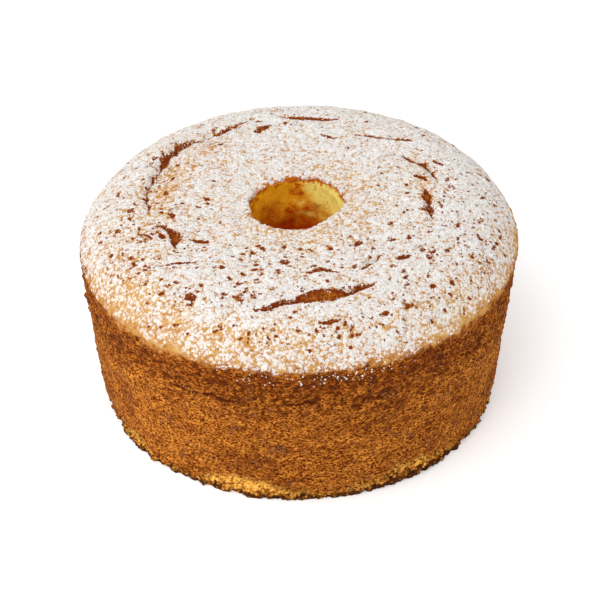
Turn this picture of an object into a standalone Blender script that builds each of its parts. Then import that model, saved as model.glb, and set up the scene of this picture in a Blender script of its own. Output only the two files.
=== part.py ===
"""A ring cake baked in a tapered tube tin: one solid with a domed, cracked top crust,
an uneven tube hole and a torn, craggy foot. Metres, +Z up, the foot stands on z = 0.
Angles are in degrees, counted from +X towards +Y."""

import math

import bmesh
import bpy
from mathutils import Vector, noise

# The baked body
RIM_RADIUS = 0.1150        # widest circle, where the risen top meets the side
FOOT_RADIUS = 0.1058       # the tin narrows towards its bottom
RIM_HEIGHT = 0.0920
CROWN_RISE = 0.0221        # how far the middle of the top stands above the rim
CROWN_POWER = 9.3          # a high power gives a flat middle and a tight shoulder
TOP_TILT = 0.015           # the top rose higher towards +X, as a share of height at the rim

# The hole left by the tin's tube
HOLE_TOP_RADIUS = 0.0239
HOLE_FOOT_RADIUS = 0.0300
HOLE_DRAWN_OUT = {"size": 0.0013, "angle": 195}
HOLE_OVAL = {"size": 0.0010, "angle": 210}
LIP_ROUNDING = 0.0030      # radius of the crust's edge where it turns into the hole
LIP_BULGE = {"size": 0.0030, "angle": 325, "spread": 22}    # crust that swelled over the edge
LIP_ZONE = (0.088, 0.108)  # heights over which the tube's round becomes the uneven lip

# Unevenness: its size, its waves around the cake, and its waves per metre of height
SIDE_SWELL = {"size": 0.0010, "around": 1.3, "up": 8, "seed": 0}
SIDE_LUMPS = {"size": 0.0007, "around": 12, "up": 110, "seed": 0}
HOLE_ROUGHNESS = {"size": 0.0005, "around": 6, "up": 60, "seed": 0}
FOOT_CRAGS = {"size": 0.0011, "around": 26, "up": 260, "seed": 0}
TEAR_WANDER = {"size": 0.0048, "around": 11, "up": 0, "seed": 3}
TEAR_CHANGE = {"size": 0.8, "around": 5, "up": 0, "seed": 9}
CRACK_WANDER = {"size": 0.0012, "around": 9, "up": 0, "seed": 7}
TOP_LUMPS = [(0.0008, 45), (0.0005, 110)]    # (size, waves per metre) across the top

# The torn foot: under a ragged lip the crust stayed in the tin
TEAR_HEIGHT = 0.0075       # usual height of the lip
TEAR_DEPTH = 0.0020        # how far the torn crumb is set back
TEAR_EDGE = 0.0035         # height over which the lip turns in
TEAR_PATCHES = [           # (middle angle, spread, extra height of the tear)
    (252, 13, 0.0070),
    (303, 15, 0.0060),
    (214, 12, 0.0030),
    (30, 18, 0.0050),
    (128, 14, 0.0045),
]

# Cracks of the top crust. A path holds (angle, radius) points. The crust falls away
# over outer_reach on the rim's side of the path and over inner_reach on the hole's side.
CRACKS = [
    {"path": [(257, 0.091), (266, 0.084), (274, 0.081), (288, 0.080), (299, 0.080)],
     "depth": 0.0050, "outer_reach": 0.0034, "inner_reach": 0.0034},
    {"path": [(104, 0.086), (120, 0.081), (138, 0.085), (161, 0.081), (188, 0.078)],
     "depth": 0.0042, "outer_reach": 0.0030, "inner_reach": 0.0140},
    {"path": [(194, 0.073), (203, 0.069), (213, 0.074)],
     "depth": 0.0034, "outer_reach": 0.0032, "inner_reach": 0.0045},
    {"path": [(74, 0.080), (86, 0.081), (98, 0.082)],
     "depth": 0.0024, "outer_reach": 0.0032, "inner_reach": 0.0050},
    {"path": [(14, 0.075), (24, 0.075), (38, 0.069)],
     "depth": 0.0034, "outer_reach": 0.0032, "inner_reach": 0.0042},
    {"path": [(345, 0.070), (358, 0.067), (371, 0.067)],
     "depth": 0.0034, "outer_reach": 0.0034, "inner_reach": 0.0034},
    {"path": [(297, 0.067), (304, 0.064), (312, 0.063)],
     "depth": 0.0034, "outer_reach": 0.0032, "inner_reach": 0.0032},
    {"path": [(46, 0.077), (56, 0.073), (66, 0.069)],
     "depth": 0.0020, "outer_reach": 0.0030, "inner_reach": 0.0030},
]
CRACK_GATHER = 0.6         # how strongly the mesh's rings are drawn to a crack's line

# Where each kind of unevenness fades in: distances from the axis, and heights
SIDE_ZONE = (0.075, 0.100)
HOLE_ZONE = (0.030, 0.042)
TOP_ZONE = (0.095, 0.104)
SHOULDER_ZONE = (0.082, 0.114)

# The mesh: points around the cake, and the spacing of its rings
STEPS_AROUND = 110
FOOT_RINGS = [0.0, 0.0030, 0.0062, 0.0098, 0.0140, 0.0190]
SIDE_RINGS = 7
CROWN_STRIDE = 0.0002      # step in which the top's curve is walked
FINE_SPACING = 0.0024      # rings of the top where the cracks run
COARSE_SPACING = 0.0040    # rings of the rest of the top
CRACK_BELT = (0.062, 0.093)
LIP_ANGLES = (30, 60, 90)
HOLE_RINGS = 5
UNDERSIDE_RINGS = 3
MERGE_DISTANCE = 0.00001


def blend(value, start, end):
    """0 up to start, 1 from end on, and a smooth rise between them."""
    share = min(1.0, max(0.0, (value - start) / (end - start)))
    return share * share * (3 - 2 * share)


def bell(angle, middle, spread):
    """1 at the middle angle, and falling off smoothly to both sides."""
    gap = (angle - middle + 180) % 360 - 180
    return math.exp(-(gap / spread) ** 2)


def ripple(kind, angle, height=0.0):
    """Smooth unevenness that closes on itself around the cake."""
    turn = math.radians(angle)
    spot = Vector((kind["around"] * math.cos(turn), kind["around"] * math.sin(turn),
                   kind["up"] * height + kind["seed"]))
    return kind["size"] * noise.noise(spot)


def side_radius(height):
    return FOOT_RADIUS + (RIM_RADIUS - FOOT_RADIUS) * height / RIM_HEIGHT


def crown_height(radius):
    return RIM_HEIGHT + CROWN_RISE * (1 - (radius / RIM_RADIUS) ** CROWN_POWER)


def crown_points():
    """Rings of the top from just inside the rim to the hole's lip, evenly spaced along
    the curve, and closer together where the cracks run."""
    points = []
    radius = RIM_RADIUS
    since_last = 0.0
    while radius > HOLE_TOP_RADIUS + LIP_ROUNDING:
        climb = crown_height(radius - CROWN_STRIDE) - crown_height(radius)
        since_last += math.hypot(CROWN_STRIDE, climb)
        radius -= CROWN_STRIDE
        in_belt = CRACK_BELT[0] < radius < CRACK_BELT[1]
        if since_last >= (FINE_SPACING if in_belt else COARSE_SPACING):
            points.append((radius, crown_height(radius)))
            since_last = 0.0
    return points


def hole_points():
    """The rounded lip, and then the tube's wall down to the foot."""
    lip_radius = HOLE_TOP_RADIUS + LIP_ROUNDING
    lip_height = crown_height(lip_radius) - LIP_ROUNDING
    points = []
    for degrees in LIP_ANGLES:
        turn = math.radians(degrees)
        points.append((lip_radius - LIP_ROUNDING * math.sin(turn),
                       lip_height + LIP_ROUNDING * math.cos(turn)))
    for ring in range(1, HOLE_RINGS + 1):
        share = ring / HOLE_RINGS
        points.append((HOLE_TOP_RADIUS + (HOLE_FOOT_RADIUS - HOLE_TOP_RADIUS) * share,
                       lip_height * (1 - share)))
    return points


def profile_points():
    """The closed outline that is spun around the Z axis: from the foot's outer edge up
    the side, over the top, down the hole and back along the underside."""
    points = [(side_radius(height), height) for height in FOOT_RINGS]
    last = FOOT_RINGS[-1]
    for ring in range(1, SIDE_RINGS + 1):
        height = last + (RIM_HEIGHT - last) * ring / SIDE_RINGS
        points.append((side_radius(height), height))
    points += crown_points() + hole_points()
    for ring in range(1, UNDERSIDE_RINGS):
        share = ring / UNDERSIDE_RINGS
        points.append((HOLE_FOOT_RADIUS + (FOOT_RADIUS - HOLE_FOOT_RADIUS) * share, 0.0))
    return points


def path_radius(path, angle):
    """Radius of a crack's path at an angle, and how far along the path that is from 0
    to 1; None where the path doesn't reach."""
    first, last = path[0][0], path[-1][0]
    along = first + (angle - first) % 360
    for (angle_a, radius_a), (angle_b, radius_b) in zip(path, path[1:]):
        if along <= angle_b:
            share = blend(along, angle_a, angle_b)
            return radius_a + (radius_b - radius_a) * share, (along - first) / (last - first)
    return None


def crack_cut(crack, angle, radius):
    """How deep a crack is at a point of the top, and how far the point is drawn towards
    the crack's line, so that the mesh has an edge along its bottom."""
    found = path_radius(crack["path"], angle)
    if found is None:
        return 0.0, 0.0
    line, along = found
    line += ripple(CRACK_WANDER, angle)
    taper = math.sin(math.pi * along) ** 0.5
    away = radius - line
    reach = crack["outer_reach"] if away > 0 else crack["inner_reach"]
    share = max(0.0, 1 - abs(away) / (reach * (1 + taper) / 2))
    near = max(0.0, 1 - abs(away) / FINE_SPACING)
    return crack["depth"] * taper * share, -CRACK_GATHER * away * near


def hole_offset(angle, height):
    """The hole isn't round at the top: it is drawn out to one side and slightly oval, and
    the crust swelled over its edge at one place."""
    to_side = math.radians(angle - HOLE_DRAWN_OUT["angle"])
    to_oval = math.radians(angle - HOLE_OVAL["angle"])
    uneven = HOLE_DRAWN_OUT["size"] * math.cos(to_side) + HOLE_OVAL["size"] * math.cos(2 * to_oval)
    uneven -= LIP_BULGE["size"] * bell(angle, LIP_BULGE["angle"], LIP_BULGE["spread"])
    return uneven * blend(height, *LIP_ZONE) + ripple(HOLE_ROUGHNESS, angle, height)


def tear_offset(angle, height):
    """How far the torn foot is set back, with crags where crumb still clings."""
    lip = TEAR_HEIGHT + ripple(TEAR_WANDER, angle)
    for middle, spread, extra in TEAR_PATCHES:
        lip += extra * bell(angle, middle, spread)
    torn = 1 - blend(height, lip - TEAR_EDGE / 2, lip + TEAR_EDGE / 2)
    set_back = TEAR_DEPTH * (0.6 + abs(ripple(TEAR_CHANGE, angle)))
    return torn * (ripple(FOOT_CRAGS, angle, height) - set_back)


def side_offset(angle, height):
    swell = ripple(SIDE_SWELL, angle, height)
    return swell + ripple(SIDE_LUMPS, angle, height) + tear_offset(angle, height)


def top_offset(angle, radius):
    """The height that lumps and cracks add to or take from the top, and the pull of the
    cracks on the mesh's rings."""
    turn = math.radians(angle)
    spot = Vector((radius * math.cos(turn), radius * math.sin(turn), 0.0))
    lift = sum(size * noise.noise(spot * waves) for size, waves in TOP_LUMPS)
    pull = 0.0
    for crack in CRACKS:
        depth, tug = crack_cut(crack, angle, radius)
        lift -= depth
        pull += tug
    return lift, pull


def bake_shape(point):
    """The place that a point of the turned body takes on the baked cake."""
    radius = math.hypot(point.x, point.y)
    turn = math.atan2(point.y, point.x)
    angle = math.degrees(turn) % 360
    on_side = blend(radius, *SIDE_ZONE) * (1 - blend(point.z, *SHOULDER_ZONE))
    by_hole = 1 - blend(radius, *HOLE_ZONE)
    on_top = blend(point.z, *TOP_ZONE)
    lift, pull = top_offset(angle, radius)
    new_radius = radius + on_side * side_offset(angle, point.z)
    new_radius += by_hole * hole_offset(angle, point.z) + on_top * pull
    new_x = new_radius * math.cos(turn)
    tilt = 1 + TOP_TILT * new_x / RIM_RADIUS
    new_z = (point.z + on_top * (1 - by_hole) * lift) * tilt
    return Vector((new_x, new_radius * math.sin(turn), new_z))


def crust_material():
    """Golden-brown baked crust, dry and dull."""
    material = bpy.data.materials.new("golden_crust")
    material.use_nodes = True
    shader = material.node_tree.nodes["Principled BSDF"]
    shader.inputs["Base Color"].default_value = (0.53, 0.23, 0.055, 1.0)
    shader.inputs["Roughness"].default_value = 0.85
    shader.inputs["Metallic"].default_value = 0.0
    return material


def make_cake():
    """Spin the outline into a ring, then bake it out of round."""
    body = bmesh.new()
    outline = [body.verts.new((radius, 0.0, height)) for radius, height in profile_points()]
    rim = [body.edges.new(pair) for pair in zip(outline, outline[1:] + outline[:1])]
    bmesh.ops.spin(body, geom=outline + rim, axis=(0, 0, 1), cent=(0, 0, 0),
                   angle=2 * math.pi, steps=STEPS_AROUND, use_merge=True, use_duplicate=False)
    bmesh.ops.remove_doubles(body, verts=body.verts, dist=MERGE_DISTANCE)
    for vertex in body.verts:
        vertex.co = bake_shape(vertex.co)
    bmesh.ops.recalc_face_normals(body, faces=body.faces)
    bmesh.ops.triangulate(body, faces=body.faces)
    mesh = bpy.data.meshes.new("ring_cake")
    body.to_mesh(mesh)
    body.free()
    mesh.materials.append(crust_material())
    mesh.shade_smooth()
    mesh.set_sharp_from_angle(angle=math.radians(60))
    cake = bpy.data.objects.new("ring_cake", mesh)
    bpy.context.scene.collection.objects.link(cake)


for old in list(bpy.data.objects):
    bpy.data.objects.remove(old, do_unlink=True)
make_cake()
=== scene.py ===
import math

import bmesh
import bpy
import numpy as np
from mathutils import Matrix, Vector, noise


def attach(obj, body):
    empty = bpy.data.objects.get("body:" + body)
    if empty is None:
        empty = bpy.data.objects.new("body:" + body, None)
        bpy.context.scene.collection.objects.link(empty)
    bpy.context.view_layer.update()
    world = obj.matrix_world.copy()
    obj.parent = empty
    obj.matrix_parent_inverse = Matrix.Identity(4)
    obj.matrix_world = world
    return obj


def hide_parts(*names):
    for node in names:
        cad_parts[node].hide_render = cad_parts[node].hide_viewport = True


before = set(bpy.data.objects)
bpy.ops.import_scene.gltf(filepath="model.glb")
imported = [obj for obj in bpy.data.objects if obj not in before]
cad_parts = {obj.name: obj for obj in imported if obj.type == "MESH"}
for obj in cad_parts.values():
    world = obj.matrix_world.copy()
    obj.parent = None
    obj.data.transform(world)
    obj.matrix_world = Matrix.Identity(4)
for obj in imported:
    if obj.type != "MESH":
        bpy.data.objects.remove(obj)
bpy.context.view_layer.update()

print("frame loaded:", sorted(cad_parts))

# Lengths are metres. Angles are degrees, from +X (right) towards +Y (back).
millimetre = 0.001
nowhere = -9.0                    # millimetres inside an opening, for a point that is in none

# the same form as the solid's
cake = {
    "rimRadius": 0.1150,          # widest circle, where the risen top meets the side
    "footRadius": 0.1058,
    "rimHeight": 0.0920,
    "crownRise": 0.0221,
    "crownPower": 9.3,            # flat middle, tight shoulder
    "topTilt": 0.015,
    "holeTopRadius": 0.0239,
    "holeFootRadius": 0.0300,
    "lipRounding": 0.0030,
    "holeDrawnOut": {"size": 0.0013, "angle": 195},
    "holeOval": {"size": 0.0010, "angle": 210},
    "lipBulge": {"size": 0.0030, "angle": 325, "spread": 22},
    "lipZone": (0.088, 0.108),
    "sideZone": (0.075, 0.100),
    "holeZone": (0.030, 0.042),
    "topZone": (0.095, 0.104),
    "shoulderZone": (0.082, 0.114),
}

# size, waves around the cake, waves per metre of height
uneven = {
    "sideSwell": {"size": 0.0010, "around": 1.3, "up": 8, "seed": 0},
    "sideLumps": {"size": 0.0007, "around": 12, "up": 110, "seed": 0},
    "holeRoughness": {"size": 0.0005, "around": 6, "up": 60, "seed": 0},
    "footCrags": {"size": 0.0011, "around": 26, "up": 260, "seed": 0},
    "tearWander": {"size": 0.0048, "around": 11, "up": 0, "seed": 3},
    "tearChange": {"size": 0.8, "around": 5, "up": 0, "seed": 9},
    "crackWander": {"size": 0.0012, "around": 9, "up": 0, "seed": 7},
    "sugarEdge": {"size": 0.0030, "around": 9, "up": 0, "seed": 5},
    "sugarFringe": {"size": 0.0024, "around": 34, "up": 0, "seed": 6},
}
topLumps = [(0.0008, 45), (0.0005, 110)]      # size, waves per metre

# patches are (angle, spread, extra height)
tear = {
    "height": 0.0075,             # usual height of the ragged lip above the foot
    "depth": 0.0020,
    "edge": 0.0035,
    "patches": [(252, 13, 0.0070), (303, 15, 0.0060), (214, 12, 0.0030),
                (30, 18, 0.0050), (128, 14, 0.0045)],
    "crustedHeight": 0.0022,      # between the patches the crust runs down to here
    "showShare": 0.80,            # of the torn height that shows pale crumb
    "leastSetBack": 0.6,
    "show": {"usual": -0.10, "swing": 0.9, "waves": 40, "gain": 1.1, "fullPatch": 0.0060},
    "farthest": 20,               # millimetres from the lip that the finish is told of
}

# path points are (angle, radius); open is half the width of what shows bare
cracks = [
    {"path": [(257, 0.091), (266, 0.084), (274, 0.081), (288, 0.080), (299, 0.080)],
     "depth": 0.0050, "outer": 0.0034, "inner": 0.0034, "open": 0.0036, "broken": 0.0},
    {"path": [(104, 0.086), (120, 0.081), (138, 0.085), (161, 0.081), (188, 0.078)],
     "depth": 0.0042, "outer": 0.0030, "inner": 0.0140, "open": 0.0017, "broken": 0.55},
    {"path": [(194, 0.073), (203, 0.069), (213, 0.074)],
     "depth": 0.0034, "outer": 0.0032, "inner": 0.0045, "open": 0.0031, "broken": 0.2},
    {"path": [(74, 0.080), (86, 0.081), (98, 0.082)],
     "depth": 0.0024, "outer": 0.0032, "inner": 0.0050, "open": 0.0022, "broken": 0.1},
    {"path": [(14, 0.075), (24, 0.075), (38, 0.069)],
     "depth": 0.0034, "outer": 0.0032, "inner": 0.0042, "open": 0.0024, "broken": 0.6},
    {"path": [(345, 0.070), (358, 0.067), (371, 0.067)],
     "depth": 0.0034, "outer": 0.0034, "inner": 0.0034, "open": 0.0026, "broken": 0.3},
    {"path": [(297, 0.067), (304, 0.064), (312, 0.063)],
     "depth": 0.0034, "outer": 0.0032, "inner": 0.0032, "open": 0.0022, "broken": 0.1},
    {"path": [(46, 0.077), (56, 0.073), (66, 0.069)],
     "depth": 0.0020, "outer": 0.0030, "inner": 0.0030, "open": 0.0013, "broken": 0.2},
]
raggedness = {
    "sway": [(0.0010, 150), (0.0005, 330)],   # size, waves per metre
    "widthWaves": 60,
    "widthSwing": 1.1,
    "taperPower": 1.5,
    "crackSwing": (-0.1, 1.5),
    "splitSwing": (0.4, 1.4),
    "splitWander": 0.6,
    "splitSway": 0.8,
    "sideSwing": (-0.3, 1.6),
    "sideBroken": 0.4,
    "sideSway": 2.2,
    "seed": 4,
}

# splits too fine for the solid; half is half their width
fineSplits = [
    {"path": [(209, 0.064), (218, 0.058)], "half": 0.0017, "depth": 0.0016},
    {"path": [(216, 0.089), (221, 0.080), (226, 0.073)], "half": 0.0010, "depth": 0.0010},
    {"path": [(196, 0.086), (203, 0.081)], "half": 0.0008, "depth": 0.0010},
    {"path": [(101, 0.073), (111, 0.070)], "half": 0.0015, "depth": 0.0014},
    {"path": [(70, 0.061), (80, 0.063)], "half": 0.0010, "depth": 0.0010},
    {"path": [(42, 0.082), (48, 0.079)], "half": 0.0009, "depth": 0.0010},
    {"path": [(22, 0.083), (28, 0.080)], "half": 0.0010, "depth": 0.0012},
    {"path": [(14, 0.069), (21, 0.065)], "half": 0.0015, "depth": 0.0016},
    {"path": [(273, 0.062), (281, 0.061), (289, 0.065)], "half": 0.0011, "depth": 0.0012},
    {"path": [(313, 0.071), (320, 0.074)], "half": 0.0015, "depth": 0.0014},
    {"path": [(275, 0.098), (282, 0.098)], "half": 0.0007, "depth": 0.0008},
    {"path": [(293, 0.099), (297, 0.099)], "half": 0.0008, "depth": 0.0008},
    {"path": [(301, 0.100), (305, 0.100)], "half": 0.0009, "depth": 0.0008},
    {"path": [(247, 0.086), (252, 0.087)], "half": 0.0008, "depth": 0.0008},
]

# angle, radius, width of the pits that catch the eye
bigPits = [
    (235, 0.0940, 0.0058), (308, 0.0485, 0.0044), (262, 0.0545, 0.0046), (316, 0.0720, 0.0044),
    (203, 0.0760, 0.0040), (324, 0.0590, 0.0030), (329, 0.0650, 0.0032), (325, 0.0760, 0.0030),
    (323, 0.0820, 0.0034), (330, 0.0865, 0.0030), (314, 0.0960, 0.0032), (345, 0.0840, 0.0032),
    (338, 0.0870, 0.0026), (343, 0.0970, 0.0030), (192, 0.0950, 0.0034), (207, 0.0955, 0.0028),
    (236, 0.0690, 0.0034), (238, 0.0540, 0.0024), (246, 0.0460, 0.0028), (177, 0.0480, 0.0030),
    (271, 0.0430, 0.0024), (226, 0.0990, 0.0028), (227, 0.0905, 0.0026), (256, 0.0390, 0.0022),
    (242, 0.0740, 0.0026), (327, 0.0370, 0.0026), (336, 0.0515, 0.0026), (254, 0.0825, 0.0024),
    (188, 0.0880, 0.0026), (309, 0.0840, 0.0026), (320, 0.1000, 0.0028), (172, 0.0700, 0.0034),
    (190, 0.0665, 0.0040), (183, 0.0880, 0.0034), (150, 0.0890, 0.0030), (128, 0.0690, 0.0030),
]
pitPlan = {
    "count": 270,
    "widths": (0.0015, 0.0026),
    "bigScale": 0.88,
    "stretch": (1.1, 2.1),        # longer along the cake's round than across
    "bigStretch": 1.3,
    "mostSmall": 2.6,
    "twist": 25,
    "reach": 2.2,                 # widths from its middle within which a pit is looked for
    "everywhere": 0.14,
    # share, angle, its spread, radii over which it sets in
    "thick": [(1.00, 345, 38, 0.050, 0.075), (0.60, 278, 62, 0.030, 0.050),
              (0.55, 203, 32, 0.050, 0.070)],
    "byCrack": (0.95, 155, 50, 0.083, 0.009),     # share, angle, its spread, radius, its spread
    "depthShare": 0.45,
    "radii": (0.030, 0.108),
    "sway": 0.55,
    "swayWaves": 620,
    "seed": 41,
}

# splits in the side, points are (angle, height)
sideSplits = [
    {"path": [(232, 0.071), (240, 0.067), (249, 0.068), (256, 0.0655)], "half": 0.0015},
    {"path": [(262, 0.0655), (269, 0.069), (277, 0.067)], "half": 0.0013},
    {"path": [(283, 0.0665), (289, 0.0640)], "half": 0.0008},
    {"path": [(222, 0.076), (229, 0.079)], "half": 0.0013},
    {"path": [(302, 0.070), (309, 0.068), (315, 0.070)], "half": 0.0009},
    {"path": [(20, 0.068), (34, 0.071), (46, 0.067)], "half": 0.0010},
    {"path": [(96, 0.070), (109, 0.067), (118, 0.069)], "half": 0.0010},
    {"path": [(160, 0.069), (170, 0.066), (181, 0.070)], "half": 0.0010},
]

relief = {
    "sideGrain": [(0.00055, 240), (0.00045, 470)],       # size, waves per metre
    "topGrain": [(0.00045, 150), (0.00035, 330), (0.00020, 620)],
    "holeGrain": [(0.00130, 150), (0.00060, 380)],
    "footGrain": [(0.00150, 250), (0.00090, 560)],
    "sideFlatten": 1.9,           # the side's lumps are this much wider than tall
    "knobs": {"size": 0.0029, "waves": 300, "over": 0.20, "zone": (0.050, 0.070, 0.094),
              "shares": (0.3, 0.7)},              # everywhere, and added within the zone
    "hollows": {"depth": 0.0005, "range": (0.02, 0.30), "shares": (0.15, 0.85)},
    "inward": 0.0004,             # keeps the relief within the solid's outline
    "splitDepth": 0.0013,
    "splitStart": 0.4,
    "holeWithin": 0.034,
    "holeWallTop": (0.0018, 0.003),               # above the lip's height
    "sideBeyond": 0.090,
    "tornSoftness": 0.002,
    "footRim": 0.001,
}

meshPlan = {
    "stepsAround": 460,
    "sideSpacing": 0.00116,
    "topSpacing": 0.00106,
    "lipRows": 5,
    "holeRows": 30,
    "holeRowGrowth": 1.7,         # rows crowd towards the lip
    "undersideRows": 3,
    "crackGather": 0.6,
    "gatherReach": 0.0024,
    "stride": 0.0001,
    "merge": 0.000001,
}


def blend(value, start, end):
    share = np.clip((value - start) / (end - start), 0, 1)
    return share * share * (3 - 2 * share)


def bell(value, middle, spread):
    return np.exp(-((value - middle) / spread) ** 2)


def turnBell(angle, middle, spread):
    return bell((angle - middle + 180) % 360, 180, spread)


def noiseAt(points):
    return np.array([noise.noise(point) for point in points.tolist()])


def grain(points, layers, seed=0.0):
    shifted = points + np.array([0.0, 0.0, seed])
    return sum(size * noiseAt(shifted * waves) for size, waves in layers)


def ripple(name, angle, height=0.0):
    kind = uneven[name]
    turn = np.radians(angle)
    up = kind["up"] * height + kind["seed"] + np.zeros_like(turn)
    return kind["size"] * noiseAt(np.stack(
        [kind["around"] * np.cos(turn), kind["around"] * np.sin(turn), up], axis=1))


def flatSpots(angle, radius):
    turn = np.radians(angle)
    return np.stack([radius * np.cos(turn), radius * np.sin(turn), 0 * turn], axis=1)


def crownHeight(radius):
    return cake["rimHeight"] + cake["crownRise"] * (
        1 - (radius / cake["rimRadius"]) ** cake["crownPower"])


lipRadius = cake["holeTopRadius"] + cake["lipRounding"]
lipHeight = crownHeight(lipRadius) - cake["lipRounding"]


def cakeProfile():
    rim, foot, rise = cake["rimRadius"], cake["footRadius"], cake["rimHeight"]
    sideRows = round(rise / meshPlan["sideSpacing"])
    points = [(foot + (rim - foot) * row / sideRows, rise * row / sideRows)
              for row in range(sideRows + 1)]
    radius, sinceLast, stride = rim, 0.0, meshPlan["stride"]
    while radius > lipRadius + meshPlan["topSpacing"] / 2:
        sinceLast += math.hypot(stride, crownHeight(radius - stride) - crownHeight(radius))
        radius -= stride
        if sinceLast >= meshPlan["topSpacing"]:
            points.append((radius, crownHeight(radius)))
            sinceLast = 0.0
    for row in range(1, meshPlan["lipRows"] + 1):
        turn = math.pi / 2 * row / meshPlan["lipRows"]
        points.append((lipRadius - cake["lipRounding"] * math.sin(turn),
                       lipHeight + cake["lipRounding"] * math.cos(turn)))
    for row in range(1, meshPlan["holeRows"] + 1):
        share = (row / meshPlan["holeRows"]) ** meshPlan["holeRowGrowth"]
        points.append((cake["holeTopRadius"] +
                       (cake["holeFootRadius"] - cake["holeTopRadius"]) * share,
                       lipHeight * (1 - share)))
    for row in range(1, meshPlan["undersideRows"]):
        share = row / meshPlan["undersideRows"]
        points.append((cake["holeFootRadius"] + (foot - cake["holeFootRadius"]) * share, 0.0))
    return points


def fixedOrder(body):
    # merging leaves the faces in any order, and the scatters draw them by number
    body.verts.index_update()
    faces = []
    for face in body.faces:
        corners = [vert.index for vert in face.verts]
        start = corners.index(min(corners))
        faces.append(corners[start:] + corners[:start])
    return sorted(faces)


def spunRing(points, steps):
    body = bmesh.new()
    outline = [body.verts.new((radius, 0.0, height)) for radius, height in points]
    loop = [body.edges.new(pair) for pair in zip(outline, outline[1:] + outline[:1])]
    bmesh.ops.spin(body, geom=outline + loop, axis=(0, 0, 1), cent=(0, 0, 0),
                   angle=2 * math.pi, steps=steps, use_merge=True, use_duplicate=False)
    bmesh.ops.remove_doubles(body, verts=body.verts, dist=meshPlan["merge"])
    bmesh.ops.recalc_face_normals(body, faces=body.faces)
    mesh = bpy.data.meshes.new("ringCake")
    mesh.from_pydata([vert.co[:] for vert in body.verts], [], fixedOrder(body))
    body.free()
    return mesh


def readPoints(mesh):
    flat = np.empty(len(mesh.vertices) * 3)
    mesh.vertices.foreach_get("co", flat)
    return flat.reshape(-1, 3)


def readNormals(mesh):
    flat = np.empty(len(mesh.vertices) * 3)
    mesh.vertex_normals.foreach_get("vector", flat)
    return flat.reshape(-1, 3)


def followPath(path, angle):
    # the path's value at each angle, the taper towards its ends, and where it reaches
    first, last = path[0][0], path[-1][0]
    along = first + (angle - first) % 360
    line = np.full_like(angle, path[0][1])
    for (angleA, valueA), (angleB, valueB) in zip(path, path[1:]):
        here = (along >= angleA) & (along <= angleB)
        line = np.where(here, valueA + (valueB - valueA) * blend(along, angleA, angleB), line)
    share = np.clip((along - first) / (last - first), 0, 1)
    return line, np.sqrt(np.clip(np.sin(math.pi * share), 0, 1)), along <= last


def openings(angle, radius):
    # how deep the top is cut, the pull on its rows towards the cracks, and how far
    # inside an opening each point lies, in millimetres
    wander, spots = ripple("crackWander", angle), flatSpots(angle, radius)
    sway = grain(spots, raggedness["sway"], raggedness["seed"])
    swing = 1 + raggedness["widthSwing"] * noiseAt(
        flatSpots(angle, cake["rimRadius"]) * raggedness["widthWaves"])
    cut, pull = np.zeros_like(angle), np.zeros_like(angle)
    inside = np.full_like(angle, nowhere)
    for crack in cracks:
        line, taper, reached = followPath(crack["path"], angle)
        away = radius - line - wander
        reach = np.where(away > 0, crack["outer"], crack["inner"])
        cut += crack["depth"] * taper * np.where(
            reached, np.clip(1 - np.abs(away) / (reach * (1 + taper) / 2), 0, 1), 0)
        pull -= meshPlan["crackGather"] * away * np.where(
            reached, np.clip(1 - np.abs(away) / meshPlan["gatherReach"], 0, 1), 0)
        edge = crack["open"] * taper ** raggedness["taperPower"] * np.clip(
            swing - crack["broken"], *raggedness["crackSwing"])
        edge -= np.abs(away + sway)
        inside = np.where(reached, np.maximum(inside, edge / millimetre), inside)
    for split in fineSplits:
        line, taper, reached = followPath(split["path"], angle)
        away = radius - line - wander * raggedness["splitWander"] + sway * raggedness["splitSway"]
        edge = split["half"] * taper * np.clip(swing, *raggedness["splitSwing"]) - np.abs(away)
        cut += np.where(reached, split["depth"] * np.clip(edge / split["half"], 0, 1), 0)
        inside = np.where(reached, np.maximum(inside, edge / millimetre), inside)
    return cut, pull, inside


def holeOffset(angle, height):
    toSide = np.radians(angle - cake["holeDrawnOut"]["angle"])
    toOval = np.radians(angle - cake["holeOval"]["angle"])
    offset = cake["holeDrawnOut"]["size"] * np.cos(toSide)
    offset += cake["holeOval"]["size"] * np.cos(2 * toOval)
    bulge = cake["lipBulge"]
    offset -= bulge["size"] * turnBell(angle, bulge["angle"], bulge["spread"])
    return offset * blend(height, *cake["lipZone"]) + ripple("holeRoughness", angle, height)


def tornLip(angle):
    lip = tear["height"] + ripple("tearWander", angle)
    for middle, spread, extra in tear["patches"]:
        lip += extra * turnBell(angle, middle, spread)
    return lip


def sideOffset(angle, height, lip):
    torn = 1 - blend(height, lip - tear["edge"] / 2, lip + tear["edge"] / 2)
    setBack = tear["depth"] * (tear["leastSetBack"] + np.abs(ripple("tearChange", angle)))
    offset = ripple("sideSwell", angle, height) + ripple("sideLumps", angle, height)
    return offset + torn * (ripple("footCrags", angle, height) - setBack)


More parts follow.
